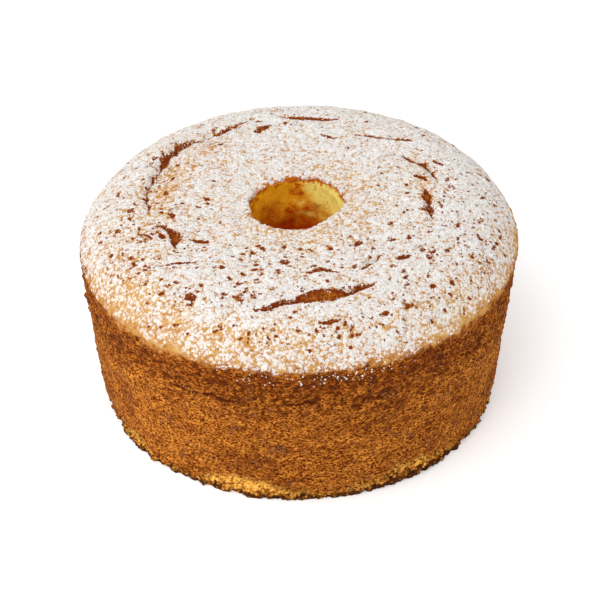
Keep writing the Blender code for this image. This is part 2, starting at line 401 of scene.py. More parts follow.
def bakeShape(turned):
    # the solid's form on the finer mesh, and what the finish needs to know of each point
    radius = np.hypot(turned[:, 0], turned[:, 1])
    turn = np.arctan2(turned[:, 1], turned[:, 0])
    angle, height = np.degrees(turn) % 360, turned[:, 2]
    onSide = blend(radius, *cake["sideZone"]) * (1 - blend(height, *cake["shoulderZone"]))
    byHole = 1 - blend(radius, *cake["holeZone"])
    onTop = blend(height, *cake["topZone"])
    cut, pull, inside = openings(angle, radius)
    lift = grain(flatSpots(angle, radius), topLumps) - cut
    lip = tornLip(angle)
    newRadius = radius + onSide * sideOffset(angle, height, lip)
    newRadius += byHole * holeOffset(angle, height) + onTop * pull
    newX = newRadius * np.cos(turn)
    tilt = 1 + cake["topTilt"] * newX / cake["rimRadius"]
    newZ = (height + onTop * (1 - byHole) * lift) * tilt
    shaped = np.stack([newX, newRadius * np.sin(turn), newZ], axis=1)
    told = {"angle": angle, "radius": radius, "height": height, "onTop": onTop * (1 - byHole),
            "inside": inside, "lip": lip}
    return shaped, told


def pitDensity(angle, radius):
    share, middle, spread, ring, ringSpread = pitPlan["byCrack"]
    most = share * turnBell(angle, middle, spread) * bell(radius, ring, ringSpread)
    for share, middle, spread, near, far in pitPlan["thick"]:
        most = np.maximum(most, share * turnBell(angle, middle, spread) * blend(radius, near, far))
    return pitPlan["everywhere"] + most


def scatterPits():
    draw = np.random.default_rng(pitPlan["seed"])
    found = [(angle, radius, width * pitPlan["bigScale"], pitPlan["bigStretch"], 0.0)
             for angle, radius, width in bigPits]
    inner, outer = (radius ** 2 for radius in pitPlan["radii"])
    low, high = pitPlan["widths"]
    while len(found) < pitPlan["count"]:
        angle = draw.uniform(0, 360)
        radius = math.sqrt(draw.uniform(inner, outer))
        if draw.uniform() > pitDensity(angle, radius):
            continue
        width = low + (high - low) * draw.uniform() ** pitPlan["mostSmall"]
        found.append((angle, radius, width, draw.uniform(*pitPlan["stretch"]),
                      draw.normal(0, pitPlan["twist"])))
    return found


def carvePits(told, inside):
    lift = np.zeros_like(inside)
    spots = flatSpots(told["angle"], told["radius"])
    sway = 1 + pitPlan["sway"] * noiseAt(spots * pitPlan["swayWaves"])
    for angle, radius, width, stretch, twist in scatterPits():
        centre = math.radians(angle)
        dx = spots[:, 0] - radius * math.cos(centre)
        dy = spots[:, 1] - radius * math.sin(centre)
        near = np.flatnonzero(dx * dx + dy * dy < (width * pitPlan["reach"]) ** 2)
        lie = centre + math.pi / 2 + math.radians(twist)
        longWay = dx[near] * math.cos(lie) + dy[near] * math.sin(lie)
        crossWay = dy[near] * math.cos(lie) - dx[near] * math.sin(lie)
        edge = width / 2 - sway[near] * np.hypot(longWay / math.sqrt(stretch),
                                                 crossWay * math.sqrt(stretch))
        inside[near] = np.maximum(inside[near], edge / millimetre)
        deep = pitPlan["depthShare"] * width * np.clip(2 * edge / width, 0, 1)
        lift[near] = np.minimum(lift[near], -deep)
    return inside, lift


def sideOpenings(told):
    inside = np.full_like(told["angle"], nowhere)
    points = flatSpots(told["angle"], cake["rimRadius"])
    points[:, 2] = told["height"]
    sway = grain(points, raggedness["sway"], 2 * raggedness["seed"])
    swing = 1 + raggedness["widthSwing"] * noiseAt(points * raggedness["widthWaves"])
    for split in sideSplits:
        line, taper, reached = followPath(split["path"], told["angle"])
        width = np.clip(swing - raggedness["sideBroken"], *raggedness["sideSwing"])
        edge = split["half"] * taper * width - np.abs(
            told["height"] - line + raggedness["sideSway"] * sway)
        inside = np.where(reached, np.maximum(inside, edge / millimetre), inside)
    return inside


# thin and thick places of the icing sugar: (gain, angle, its spread, radius, its spread)
sugarPlan = {
    "usual": 0.74,
    "places": [(0.20, 95, 70, 0.085, 0.040), (0.30, 352, 50, 0.085, 0.034),
               (0.20, 245, 35, 0.078, 0.022), (-0.34, 272, 62, 0.032, 0.012),
               (-0.26, 20, 60, 0.036, 0.010), (-0.56, 222, 26, 0.108, 0.012),
               (-0.40, 262, 26, 0.107, 0.009), (-0.40, 318, 20, 0.106, 0.011),
               (-0.46, 350, 26, 0.112, 0.009), (-0.50, 172, 24, 0.071, 0.010),
               (-0.62, 2, 18, 0.0665, 0.006), (-0.50, 28, 15, 0.073, 0.005),
               (-0.36, 140, 30, 0.072, 0.010), (-0.24, 205, 16, 0.086, 0.014)],
    "drifts": [(0.20, 55), (0.18, 150)],
    "edgeRise": 0.0005,           # of its lower edge above the rim
    "edgeSlope": 0.0020,
    "edgeSoftness": (-0.0028, 0.0045),
    "edgeCrumbs": {"size": 0.0014, "waves": 300},
    "edgePlaces": [(0.0004, 216, 26)],            # how far it draws back up, angle, spread
    "softPlaces": [(0.010, 215, 32), (0.006, 318, 22)],   # extra softness, angle, spread
    "holeEdge": (0.0232, 0.0248),
    "holeRetreat": {"size": 0.0007, "angle": 92, "spread": 58, "swing": 1.6, "waves": 260,
                    "ring": 0.025},
    "holeLimit": (0.0040, 0.0005),                # outside the lip's radius, above its height
}


def sugarAmount(told):
    angle, radius, height = told["angle"], told["radius"], told["height"]
    amount = sugarPlan["usual"] + grain(flatSpots(angle, radius), sugarPlan["drifts"])
    for gain, middle, spread, ring, ringSpread in sugarPlan["places"]:
        amount += gain * turnBell(angle, middle, spread) * bell(radius, ring, ringSpread)
    edge = cake["rimHeight"] + sugarPlan["edgeRise"]
    edge += sugarPlan["edgeSlope"] * np.cos(np.radians(angle))
    edge += ripple("sugarEdge", angle) + ripple("sugarFringe", angle)
    crumbs = sugarPlan["edgeCrumbs"]
    edge += crumbs["size"] * noiseAt(flatSpots(angle, cake["rimRadius"]) * crumbs["waves"])
    for rise, middle, spread in sugarPlan["edgePlaces"]:
        edge += rise * turnBell(angle, middle, spread)
    low, high = sugarPlan["edgeSoftness"]
    for extra, middle, spread in sugarPlan["softPlaces"]:
        high = high + extra * turnBell(angle, middle, spread)
    onCrust = blend(height, edge + low, edge + high)
    retreat = sugarPlan["holeRetreat"]
    back = retreat["size"] * turnBell(angle, retreat["angle"], retreat["spread"])
    back = back * (1 + retreat["swing"] * noiseAt(
        flatSpots(angle, retreat["ring"]) * retreat["waves"]))
    start, end = sugarPlan["holeEdge"]
    out, up = sugarPlan["holeLimit"]
    inHole = (radius < lipRadius + out) & (height < lipHeight + up)
    outOfHole = np.where(inHole, 0, blend(radius, start + back, end + back))
    return np.clip(amount, 0, 1) * onCrust * outOfHole


def tornShow(angle):
    look = tear["show"]
    show = look["usual"] + look["swing"] * noiseAt(
        flatSpots(angle, cake["footRadius"]) * look["waves"])
    for middle, spread, extra in tear["patches"]:
        show += look["gain"] * extra / look["fullPatch"] * turnBell(angle, middle, spread)
    return np.clip(show, 0, 1)


def addRelief(mesh, told):
    angle, height, radius = told["angle"], told["height"], told["radius"]
    points, facing, onTop = readPoints(mesh), readNormals(mesh), told["onTop"]
    low, high = relief["holeWallTop"]
    wall = np.where(radius < relief["holeWithin"],
                    1 - blend(height, lipHeight + low, lipHeight + high), 0.0)
    outside, soft = radius > relief["sideBeyond"], relief["tornSoftness"]
    torn = np.where(outside, 1 - blend(height, told["lip"] - soft, told["lip"] + soft), 0.0)
    side = np.clip(1 - onTop - wall, 0, 1) * (1 - torn)
    inside, pitLift = carvePits(told, told["inside"])
    splits = np.where(outside, sideOpenings(told), nowhere)
    flattened = points * np.array([1, 1, relief["sideFlatten"]])
    push = side * grain(flattened, relief["sideGrain"]) + wall * grain(points, relief["holeGrain"])
    push += torn * grain(points, relief["footGrain"]) + onTop * grain(points, relief["topGrain"])
    knobs = relief["knobs"]
    low, middle, high = knobs["zone"]
    inZone = blend(height, low, middle) * (1 - blend(height, middle, high))
    lumps = noiseAt(points * knobs["waves"])
    rise = np.clip(lumps - knobs["over"], 0, 1)
    hollows = relief["hollows"]
    usual, added = hollows["shares"]
    hollow = side * (usual + added * inZone) * blend(-lumps, *hollows["range"])
    usual, added = knobs["shares"]
    push += side * (usual + added * inZone) * knobs["size"] * rise - hollows["depth"] * hollow
    push -= side * relief["splitDepth"] * np.clip(splits + relief["splitStart"], 0, 1)
    push -= relief["inward"] * (side + torn)
    push += onTop * pitLift
    standing = height < meshPlan["merge"]
    push[standing & (radius < cake["footRadius"] - relief["footRim"])] = 0
    moved = points + facing * push[:, None]
    moved[standing, 2] = 0
    moved[:, 2] = np.maximum(moved[:, 2], 0)
    mesh.vertices.foreach_set("co", moved.ravel())
    show = tornShow(angle)
    lip = tear["crustedHeight"] + show * (
        tear["showShare"] * told["lip"] - tear["crustedHeight"])
    inTop, inSide = inside * onTop + nowhere * (1 - onTop), splits * side + nowhere * (1 - side)
    far = tear["farthest"]
    return {"openEdge": np.maximum(inTop, inSide),
            "sugar": sugarAmount(told),
            "pitShare": np.clip(pitDensity(angle, radius), 0, 1) * onTop,
            "holeWall": wall,
            # the hollows between the side's lumps, where the crust's colour is darkened as painted
            # shade
            "hollow": hollow,
            "tornEdge": np.where(outside, np.clip((lip - height) / millimetre, -far, far), -far),
            "tornShare": show}


# the bake map: the top as a disc, the side as two strips, the hole and the underside
bakeMap = {
    "scale": 2.40,                # share of the map per metre of crust
    "topCentre": (0.285, 0.285),
    "topDrop": 0.30,              # how fast the disc grows down the shoulder
    "underCentre": (0.86, 0.14),
    "underScale": 1.2,
    "sideStart": (0.03, 0.575),
    "stripShare": 0.92,
    "stripGap": 0.008,
    "holeStart": (0.575, 0.29),
    "holeRadius": 0.027,
    "holeMargin": 0.0005,
    "lipMargin": 0.0006,
}


def layBakeMap(mesh, told):
    uvLayer = mesh.uv_layers.new(name="OFBake")
    corners = np.empty(len(mesh.loops), dtype=int)
    mesh.loops.foreach_get("vertex_index", corners)
    totals = np.empty(len(mesh.polygons), dtype=int)
    mesh.polygons.foreach_get("loop_total", totals)
    face = np.repeat(np.arange(len(totals)), totals)

    def faceMean(values):
        return (np.bincount(face, values[corners]) / totals)[face]

    turn, radius, height = np.radians(told["angle"]), told["radius"], told["height"]
    middle = np.arctan2(faceMean(np.sin(turn)), faceMean(np.cos(turn))) % (2 * math.pi)
    unwrapped = middle + (turn[corners] - middle + math.pi) % (2 * math.pi) - math.pi
    meanHeight, meanRadius = faceMean(height), faceMean(radius)
    radius, height, turn, scale = radius[corners], height[corners], turn[corners], bakeMap["scale"]

    def disc(centre, spread):
        return centre[0] + spread * np.cos(turn), centre[1] + spread * np.sin(turn)

    drop = np.clip(cake["rimHeight"] + cake["crownRise"] - height, 0, 1)
    u, v = disc(bakeMap["topCentre"], (radius + bakeMap["topDrop"] * drop) * scale)
    under = meanHeight < meshPlan["merge"]
    side = (meanHeight <= cake["rimHeight"]) & (meanRadius > cake["holeFootRadius"] * 2) & ~under
    secondHalf = middle >= math.pi
    along = unwrapped - np.where(secondHalf, math.pi, 0)
    stripHeight = cake["rimHeight"] * scale * bakeMap["stripShare"]
    lift = np.where(secondHalf, stripHeight + bakeMap["stripGap"], 0)
    u = np.where(side, bakeMap["sideStart"][0] + along * cake["rimRadius"] * scale, u)
    v = np.where(side, bakeMap["sideStart"][1] + lift + height * scale * bakeMap["stripShare"], v)
    hole = (meanRadius < cake["holeFootRadius"] + bakeMap["holeMargin"]) & ~under
    hole &= (meanHeight < cake["rimHeight"]) | (
        meanRadius < cake["holeTopRadius"] + bakeMap["lipMargin"])
    u = np.where(hole, bakeMap["holeStart"][0] + unwrapped * bakeMap["holeRadius"] * scale, u)
    v = np.where(hole, bakeMap["holeStart"][1] + height * scale, v)
    underU, underV = disc(bakeMap["underCentre"], radius * bakeMap["underScale"])
    u, v = np.where(under, underU, u), np.where(under, underV, v)
    uvLayer.data.foreach_set("uv", np.stack([u, v], axis=1).ravel())


def storeField(mesh, name, values):
    made = mesh.attributes.new(name, "FLOAT", "POINT")
    made.data.foreach_set("value", values.astype(np.float32))


def addPiece(name, mesh):
    piece = bpy.data.objects.new(name, mesh)
    bpy.context.scene.collection.objects.link(piece)
    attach(piece, "root")
    print(name, "has", sum(len(face.vertices) - 2 for face in mesh.polygons), "triangles")
    return piece


def makeCake():
    mesh = spunRing(cakeProfile(), meshPlan["stepsAround"])
    shaped, told = bakeShape(readPoints(mesh))
    mesh.vertices.foreach_set("co", shaped.ravel())
    mesh.update()
    fields = addRelief(mesh, told)
    for name, values in fields.items():
        storeField(mesh, name, values)
    layBakeMap(mesh, told)
    mesh.update()
    mesh.shade_smooth()
    mesh.materials.append(makeCrustMaterial())
    body = addPiece("ringCake", mesh)
    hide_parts("ring_cake")
    return mesh, told, fields


# what lies loose on the crust, as joined meshes; sizes are (least, most) across
scatters = {
    "sugarGrains": {"count": 16000, "sizes": (0.00035, 0.00075), "sunk": 0.15, "sides": 8,
                    "squash": (0.7, 1.2), "seed": 11},
    "sugarClumps": {"count": 6200, "sizes": (0.0008, 0.0016), "sunk": 0.20, "sides": 20,
                    "squash": (0.55, 1.0), "seed": 12},
    "footCrumbs": {"count": 3600, "sizes": (0.0008, 0.0025), "sunk": 0.10, "sides": 20,
                   "squash": (0.5, 1.2), "seed": 13},
}
bedding = 0.35                    # how far a lump settles, as a share of its size

# where the sugar and the crumbs lie
strewing = {
    "bareFrom": (-0.7, 0.0),      # millimetres inside an opening
    "driftWaves": (420, 190),
    "driftSecond": 0.6,
    "driftRange": (-0.10, 0.40),
    "leastDrift": 0.05,
    "coverRange": (0.30, 0.62),
    "clumpPower": 1.5,
    "fallen": {"share": 0.20, "height": 0.0868, "heightSpread": 0.0040, "beyond": 0.1,
               "angle": 277, "spread": 34, "waves": 150, "range": (0.45, 0.95),
               "grains": 0.05, "clumps": 0.7},
    "tornRange": (-0.5, 1.5),
    "leastTorn": 0.08,
}


def seedShape(sides):
    shape = bmesh.new()
    if sides == 8:
        bmesh.ops.create_cone(shape, cap_ends=False, segments=4, radius1=1, radius2=0, depth=1)
        bmesh.ops.mirror(shape, geom=shape.verts[:] + shape.edges[:] + shape.faces[:], axis="Z",
                         merge_dist=0.01)
    else:
        bmesh.ops.create_icosphere(shape, subdivisions=1, radius=1)
    shape.verts.ensure_lookup_table()
    points = np.array([vert.co[:] for vert in shape.verts])
    faces = np.array([[vert.index for vert in face.verts] for face in shape.faces])
    shape.free()
    points -= points.mean(axis=0)
    return points / np.abs(points).max(), faces


def randomTurns(draw, count):
    # even random rotations from quaternions
    w, x, y, z = draw.normal(size=(4, count))
    length = np.sqrt(w * w + x * x + y * y + z * z)
    w, x, y, z = w / length, x / length, y / length, z / length
    return np.stack([
        np.stack([1 - 2 * (y * y + z * z), 2 * (x * y - z * w), 2 * (x * z + y * w)], axis=1),
        np.stack([2 * (x * y + z * w), 1 - 2 * (x * x + z * z), 2 * (y * z - x * w)], axis=1),
        np.stack([2 * (x * z - y * w), 2 * (y * z + x * w), 1 - 2 * (x * x + y * y)], axis=1),
    ], axis=1)


def scatter(name, host, weight, material):
    plan = scatters[name]
    draw = np.random.default_rng(plan["seed"])
    quads = np.array([face.vertices[:] for face in host.polygons])
    points, facing = readPoints(host), readNormals(host)
    areas = np.empty(len(quads))
    host.polygons.foreach_get("area", areas)
    chance = areas * weight[quads].mean(axis=1)
    chosen = draw.choice(len(quads), size=plan["count"], p=chance / chance.sum())
    u, v = draw.uniform(size=(2, plan["count"], 1))
    a, b, c, d = (points[quads[chosen, corner]] for corner in range(4))
    centres = (1 - u) * (1 - v) * a + u * (1 - v) * b + u * v * c + (1 - u) * v * d
    outward = facing[quads[chosen, 0]]
    low, high = plan["sizes"]
    sizes = low + (high - low) * draw.uniform(size=plan["count"]) ** 2
    stretch = draw.uniform(*plan["squash"], size=(plan["count"], 1, 3))
    shape, faces = seedShape(plan["sides"])
    lumps = (shape[None] * stretch) @ np.transpose(randomTurns(draw, plan["count"]), (0, 2, 1))
    lumps *= (sizes / 2)[:, None, None]
    centres += outward * (sizes * (0.5 - plan["sunk"] - bedding))[:, None]
    lumps += centres[:, None, :]
    lumps[..., 2] = np.maximum(lumps[..., 2], 0)
    joined = faces[None] + (np.arange(plan["count"]) * len(shape))[:, None, None]
    mesh = bpy.data.meshes.new(name)
    mesh.from_pydata(lumps.reshape(-1, 3).tolist(), [],
                     joined.reshape(-1, faces.shape[1]).tolist())
    mesh.shade_smooth()
    mesh.materials.append(material)
    return addPiece(name, mesh)


def dressCake(host, told, fields):
    bare = 1 - blend(fields["openEdge"], *strewing["bareFrom"])
    points = readPoints(host)
    fine, coarse = strewing["driftWaves"]
    drifts = blend(noiseAt(points * fine) + strewing["driftSecond"] * noiseAt(points * coarse),
                   *strewing["driftRange"])
    sugared = fields["sugar"] ** 2 * bare * (strewing["leastDrift"] + drifts)
    sugared = sugared * blend(fields["sugar"], *strewing["coverRange"])
    plan = strewing["fallen"]
    fallen = plan["share"] * bell(told["height"], plan["height"], plan["heightSpread"])
    fallen = fallen * (told["radius"] > plan["beyond"])
    fallen *= blend(turnBell(told["angle"], plan["angle"], plan["spread"])
                    + noiseAt(points * plan["waves"]), *plan["range"])
    sugar = makeSugarMaterial()
    scatter("sugarGrains", host, sugared + plan["grains"] * fallen, sugar)
    scatter("sugarClumps", host, sugared ** strewing["clumpPower"] + plan["clumps"] * fallen,
            sugar)
    low = blend(fields["tornEdge"], *strewing["tornRange"]) * (told["height"] > meshPlan["merge"])
    scatter("footCrumbs", host, low * (strewing["leastTorn"] + fields["tornShare"]),
            makeCrumbMaterial())


def feed(tree, socket, value):
    if isinstance(value, bpy.types.NodeSocket):
        tree.links.new(value, socket)
    elif value is not None:
        socket.default_value = value


def texture(tree, vector, scale, detail=2.0, roughness=0.5, distortion=0.0):
    made = tree.nodes.new("ShaderNodeTexNoise")
    feed(tree, made.inputs["Vector"], vector)
    feed(tree, made.inputs["Scale"], scale)
    made.inputs["Detail"].default_value = detail
    made.inputs["Roughness"].default_value = roughness
    made.inputs["Distortion"].default_value = distortion
    return made.outputs["Fac"]


def cells(tree, vector, scale):
    # distance from the middle of each cell, and the cell's own chance value
    made = tree.nodes.new("ShaderNodeTexVoronoi")
    feed(tree, made.inputs["Vector"], vector)
    feed(tree, made.inputs["Scale"], scale)
    pick = tree.nodes.new("ShaderNodeSeparateColor")
    feed(tree, pick.inputs[0], made.outputs["Color"])
    return made.outputs["Distance"], pick.outputs[0]


def maths(tree, operation, first, second=None, clamp=False):
    made = tree.nodes.new("ShaderNodeMath")
    made.operation = operation
    made.use_clamp = clamp
    feed(tree, made.inputs[0], first)
    feed(tree, made.inputs[1], second)
    return made.outputs[0]


def plus(tree, first, second, clamp=False):
    return maths(tree, "ADD", first, second, clamp)


def minus(tree, first, second, clamp=False):
    return maths(tree, "SUBTRACT", first, second, clamp)


def times(tree, first, second):
    return maths(tree, "MULTIPLY", first, second)


def larger(tree, first, second):
    return maths(tree, "MAXIMUM", first, second)


def axesOf(tree, vector):
    made = tree.nodes.new("ShaderNodeSeparateXYZ")
    feed(tree, made.inputs[0], vector)
    return made.outputs


def remap(tree, value, low, high, newLow=0.0, newHigh=1.0):
    made = tree.nodes.new("ShaderNodeMapRange")
    made.interpolation_type = "SMOOTHSTEP"
    for name, given in zip(("Value", "From Min", "From Max", "To Min", "To Max"),
                           (value, low, high, newLow, newHigh)):
        feed(tree, made.inputs[name], given)
    return made.outputs["Result"]


def mixColour(tree, share, first, second, mode="MIX"):
    made = tree.nodes.new("ShaderNodeMix")
    made.data_type = "RGBA"
    made.blend_type = mode
    feed(tree, made.inputs["Factor"], share)
    for name, given in (("A", first), ("B", second)):
        socket = [s for s in made.inputs if s.name == name and s.type == "RGBA"][0]
        feed(tree, socket, given if isinstance(given, bpy.types.NodeSocket) else (*given, 1.0))
    return [s for s in made.outputs if s.type == "RGBA"][0]


def stretched(tree, vector, scale):
    made = tree.nodes.new("ShaderNodeMapping")
    feed(tree, made.inputs["Vector"], vector)
    made.inputs["Scale"].default_value = scale
    return made.outputs["Vector"]


def field(tree, name):
    made = tree.nodes.new("ShaderNodeAttribute")
    made.attribute_name = name
    return made.outputs["Fac"]


def newGroup(name, inputs, outputs):
    tree = bpy.data.node_groups.new(name, "ShaderNodeTree")
    for label, kind, value in inputs:
        socket = tree.interface.new_socket(name=label, in_out="INPUT", socket_type=kind)
        if value is not None:
            socket.default_value = value
    for label in outputs:
        tree.interface.new_socket(name=label, in_out="OUTPUT", socket_type="NodeSocketFloat")
    return tree, tree.nodes.new("NodeGroupInput").outputs, tree.nodes.new("NodeGroupOutput").inputs


def useGroup(tree, group, **given):
    made = tree.nodes.new("ShaderNodeGroup")
    made.node_tree = group
    for name, value in given.items():
        feed(tree, made.inputs[name], value)
    return made.outputs


# bump is its strength and its distance
finishes = {
    "cakeCrust": {"roughness": 0.88, "specular": 0.04, "bump": (0.8, 0.0011)},
    "icingSugar": {"roughness": 0.85, "specular": 0.15, "bump": (0.5, 0.0003)},
    "tornCrumb": {"roughness": 0.9, "specular": 0.08, "bump": (0.6, 0.0005)},
    "paleFloor": {"roughness": 0.9, "specular": 0.2},
}


def newMaterial(name):
    material = bpy.data.materials.new(name)
    material.use_nodes = True
    tree = material.node_tree
    shader = tree.nodes["Principled BSDF"]
    shader.inputs["Roughness"].default_value = finishes[name]["roughness"]
    shader.inputs["Specular IOR Level"].default_value = finishes[name]["specular"]
    coordinates = tree.nodes.new("ShaderNodeTexCoord").outputs["Object"]
    return material, tree, shader, coordinates


def bumpBy(tree, shader, height, name):
    strength, distance = finishes[name]["bump"]
    made = tree.nodes.new("ShaderNodeBump")
    made.inputs["Strength"].default_value = strength
    made.inputs["Distance"].default_value = distance
    feed(tree, made.inputs["Height"], height)
    tree.links.new(made.outputs["Normal"], shader.inputs["Normal"])


def warped(tree, vector, scale, reach):
    # the vector pushed about by up to half the reach either way
    made = tree.nodes.new("ShaderNodeTexNoise")
    feed(tree, made.inputs["Vector"], vector)
    feed(tree, made.inputs["Scale"], scale)
    made.inputs["Detail"].default_value = 1.0
    push = tree.nodes.new("ShaderNodeVectorMath")
    push.operation = "MULTIPLY_ADD"
    feed(tree, push.inputs[0], made.outputs["Color"])
    push.inputs[1].default_value = (reach, reach, reach)
    feed(tree, push.inputs[2], vector)
    return push.outputs[0]


def crumbPoresGroup():
    # winding walls of crumb, the gaps and pores between them, and a slower change of tone
    tree, given, put = newGroup(
        "crumbPores",
        [("Vector", "NodeSocketVector", None), ("Scale", "NodeSocketFloat", 1.0),
         ("Openness", "NodeSocketFloat", 0.5)],
        ["Height", "Pores", "Walls", "Gaps", "Tone"])
    vector, scale = given["Vector"], given["Scale"]
    winding = texture(tree, vector, times(tree, scale, 700.0), 3.0, 0.62, 0.7)
    bent = warped(tree, vector, times(tree, scale, 520.0), 0.0024)
    distance, chance = cells(tree, bent, times(tree, scale, 400.0))
    patches = texture(tree, vector, times(tree, scale, 210.0), 3.0, 0.6)
    slow = texture(tree, vector, times(tree, scale, 55.0), 4.0, 0.6)
    wide = plus(tree, times(tree, minus(tree, chance, 0.34), 0.42),
                times(tree, minus(tree, 0.5, patches), 0.7))
    width = times(tree, wide, remap(tree, given["Openness"], 0.0, 1.0, 0.5, 1.5))
    pores = remap(tree, minus(tree, distance, width), 0.06, -0.06)
    height = minus(tree, winding, times(tree, pores, 0.45))
    feed(tree, put["Height"], height)
    feed(tree, put["Pores"], pores)
    feed(tree, put["Walls"], remap(tree, winding, 0.47, 0.59))
    feed(tree, put["Gaps"], remap(tree, winding, 0.495, 0.395))
    feed(tree, put["Tone"], plus(tree, times(tree, patches, 0.5), times(tree, slow, 0.5)))
    return tree


def sugarDustGroup():
    # how far a grainy powder hides what it lies on, for an amount from 0 to 1
    tree, given, put = newGroup(
        "sugarDust",
        [("Vector", "NodeSocketVector", None), ("Amount", "NodeSocketFloat", 0.8),
         ("Grain", "NodeSocketFloat", 1.0)],
        ["Cover", "Height", "Tone"])
    bent = warped(tree, given["Vector"], 800.0, 0.0016)
    distance, chance = cells(tree, bent, 640.0)
    lumps = texture(tree, given["Vector"], 330.0, 3.0, 0.6)
    fine = texture(tree, given["Vector"], 1700.0, 1.0, 0.5)
    swing = 0.0
    for value, gain in ((chance, 0.9), (distance, -1.9), (lumps, 1.8)):
        swing = plus(tree, swing, times(tree, minus(tree, value, 0.5), gain))
    swing = times(tree, swing, remap(tree, given["Amount"], 0.02, 0.70, 0.55, 1.15))
    grainy = times(tree, minus(tree, fine, 0.5),
                   remap(tree, given["Amount"], 0.02, 0.40, 0.45, 1.6))
    swing = plus(tree, swing, grainy)
    swing = times(tree, swing, given["Grain"])
    thick = larger(tree, plus(tree, given["Amount"], swing), 0.0)
    seen = maths(tree, "EXPONENT", times(tree, thick, -2.6))
    cover = minus(tree, 1.0, seen, clamp=True)
    feed(tree, put["Cover"], cover)
    feed(tree, put["Height"], times(tree, cover, plus(tree, 0.4, swing)))
    feed(tree, put["Tone"], chance)
    return tree


crustColours = {
    "side": (0.290, 0.070, 0.0050),
    "sideDark": (0.205, 0.044, 0.0040),
    "sideLight": (0.70, 0.266, 0.038),
    "gap": (0.29, 0.20, 0.16),             # painted shade: multiplies the gaps between the crumb's walls and the hollows between lumps
    # the crust's dark pores and patches, and painted shade in the side's splits
    "poreAndShade": (0.080, 0.015, 0.003),
    "band": (0.86, 0.75, 0.60),            # multiplies the side under the rim
    "violet": (0.145, 0.048, 0.028),
    "bright": (1.18, 1.20, 1.24),          # multiplies the front left: partly its lighter crust, partly painted light from the lamp on the left
    "tornCrumb": (0.92, 0.50, 0.090),
    "tornMiddle": (0.44, 0.150, 0.016),
    "tornShade": (0.085, 0.026, 0.006),
    "top": (0.62, 0.37, 0.122),
    "topDark": (0.48, 0.200, 0.044),
    "fringe": (0.46, 0.150, 0.026),
    "openLight": (0.42, 0.122, 0.009),
    "openDark": (0.175, 0.028, 0.005),
    "pit": (0.215, 0.036, 0.003),
    "holeYellow": (1.00, 0.49, 0.016),
    "holePale": (1.00, 0.84, 0.21),
    "holeBrown": (0.54, 0.056, 0.001),
    "holeLip": (0.44, 0.105, 0.006),
}
# heights over which one finish gives way to another
heights = {
    "band": (0.062, 0.086),
    "top": (0.1020, 0.1070),
    "topFringe": (0.1085, 0.1040),
    "deepOpening": (0.090, 0.080),
    "footEdge": (0.0034, 0.0018),
    "holeYellow": (0.098, 0.130),
    "holePale": (0.087, 0.103),
    "holeSpots": (0.080, 0.094),
    "holeLip": (0.1175, 0.1205),
    "crumbLight": (0.0222, 0.0262),
    "crumbShade": (0.0216, 0.0192),
}
sugarColours = {"bright": (0.865, 0.858, 0.850), "dull": (0.725, 0.690, 0.655)}


# the front left of the side, made brighter: partly its lighter crust, partly painted light from
# the lamp on the left
def frontLeft(tree, coords, tone):
    at = axesOf(tree, coords)
    toLeft = plus(tree, at["X"], times(tree, tone, 0.05))
    return times(tree, remap(tree, toLeft, 0.010, -0.060), remap(tree, at["Y"], -0.02, -0.08))


def sideColour(tree, coords, height, porous, bright):
    c = crustColours
    tone = porous["Tone"]
    colour = mixColour(tree, remap(tree, tone, 0.38, 0.54), c["sideDark"], c["side"])
    # the crumb's walls lighter: partly their own tone, partly painted highlight
    light = times(tree, remap(tree, tone, 0.38, 0.58, 0.25, 1.0), porous["Walls"])
    colour = mixColour(tree, light, colour, c["sideLight"])
    violet = remap(tree, texture(tree, coords, 95.0, 4.0, 0.7), 0.54, 0.68, 0.0, 0.6)
    colour = mixColour(tree, violet, colour, c["violet"])
    # painted shade: darker in the gaps between the crumb's walls and in the hollows between the
    # side's lumps
    colour = mixColour(tree, larger(tree, porous["Gaps"], field(tree, "hollow")), colour, c["gap"],
                       "MULTIPLY")
    # partly painted light: the front left made brighter
    colour = mixColour(tree, bright, colour, c["bright"], "MULTIPLY")
    banded = remap(tree, height, *heights["band"])
    colour = mixColour(tree, banded, colour, c["band"], "MULTIPLY")
    crags = remap(tree, texture(tree, coords, 400.0, 4.0, 0.68), 0.49, 0.42)
    crags = times(tree, crags, plus(tree, banded, 0.12, clamp=True))
    colour = mixColour(tree, times(tree, crags, 0.8), colour, c["poreAndShade"])
    return mixColour(tree, porous["Pores"], colour, c["poreAndShade"])


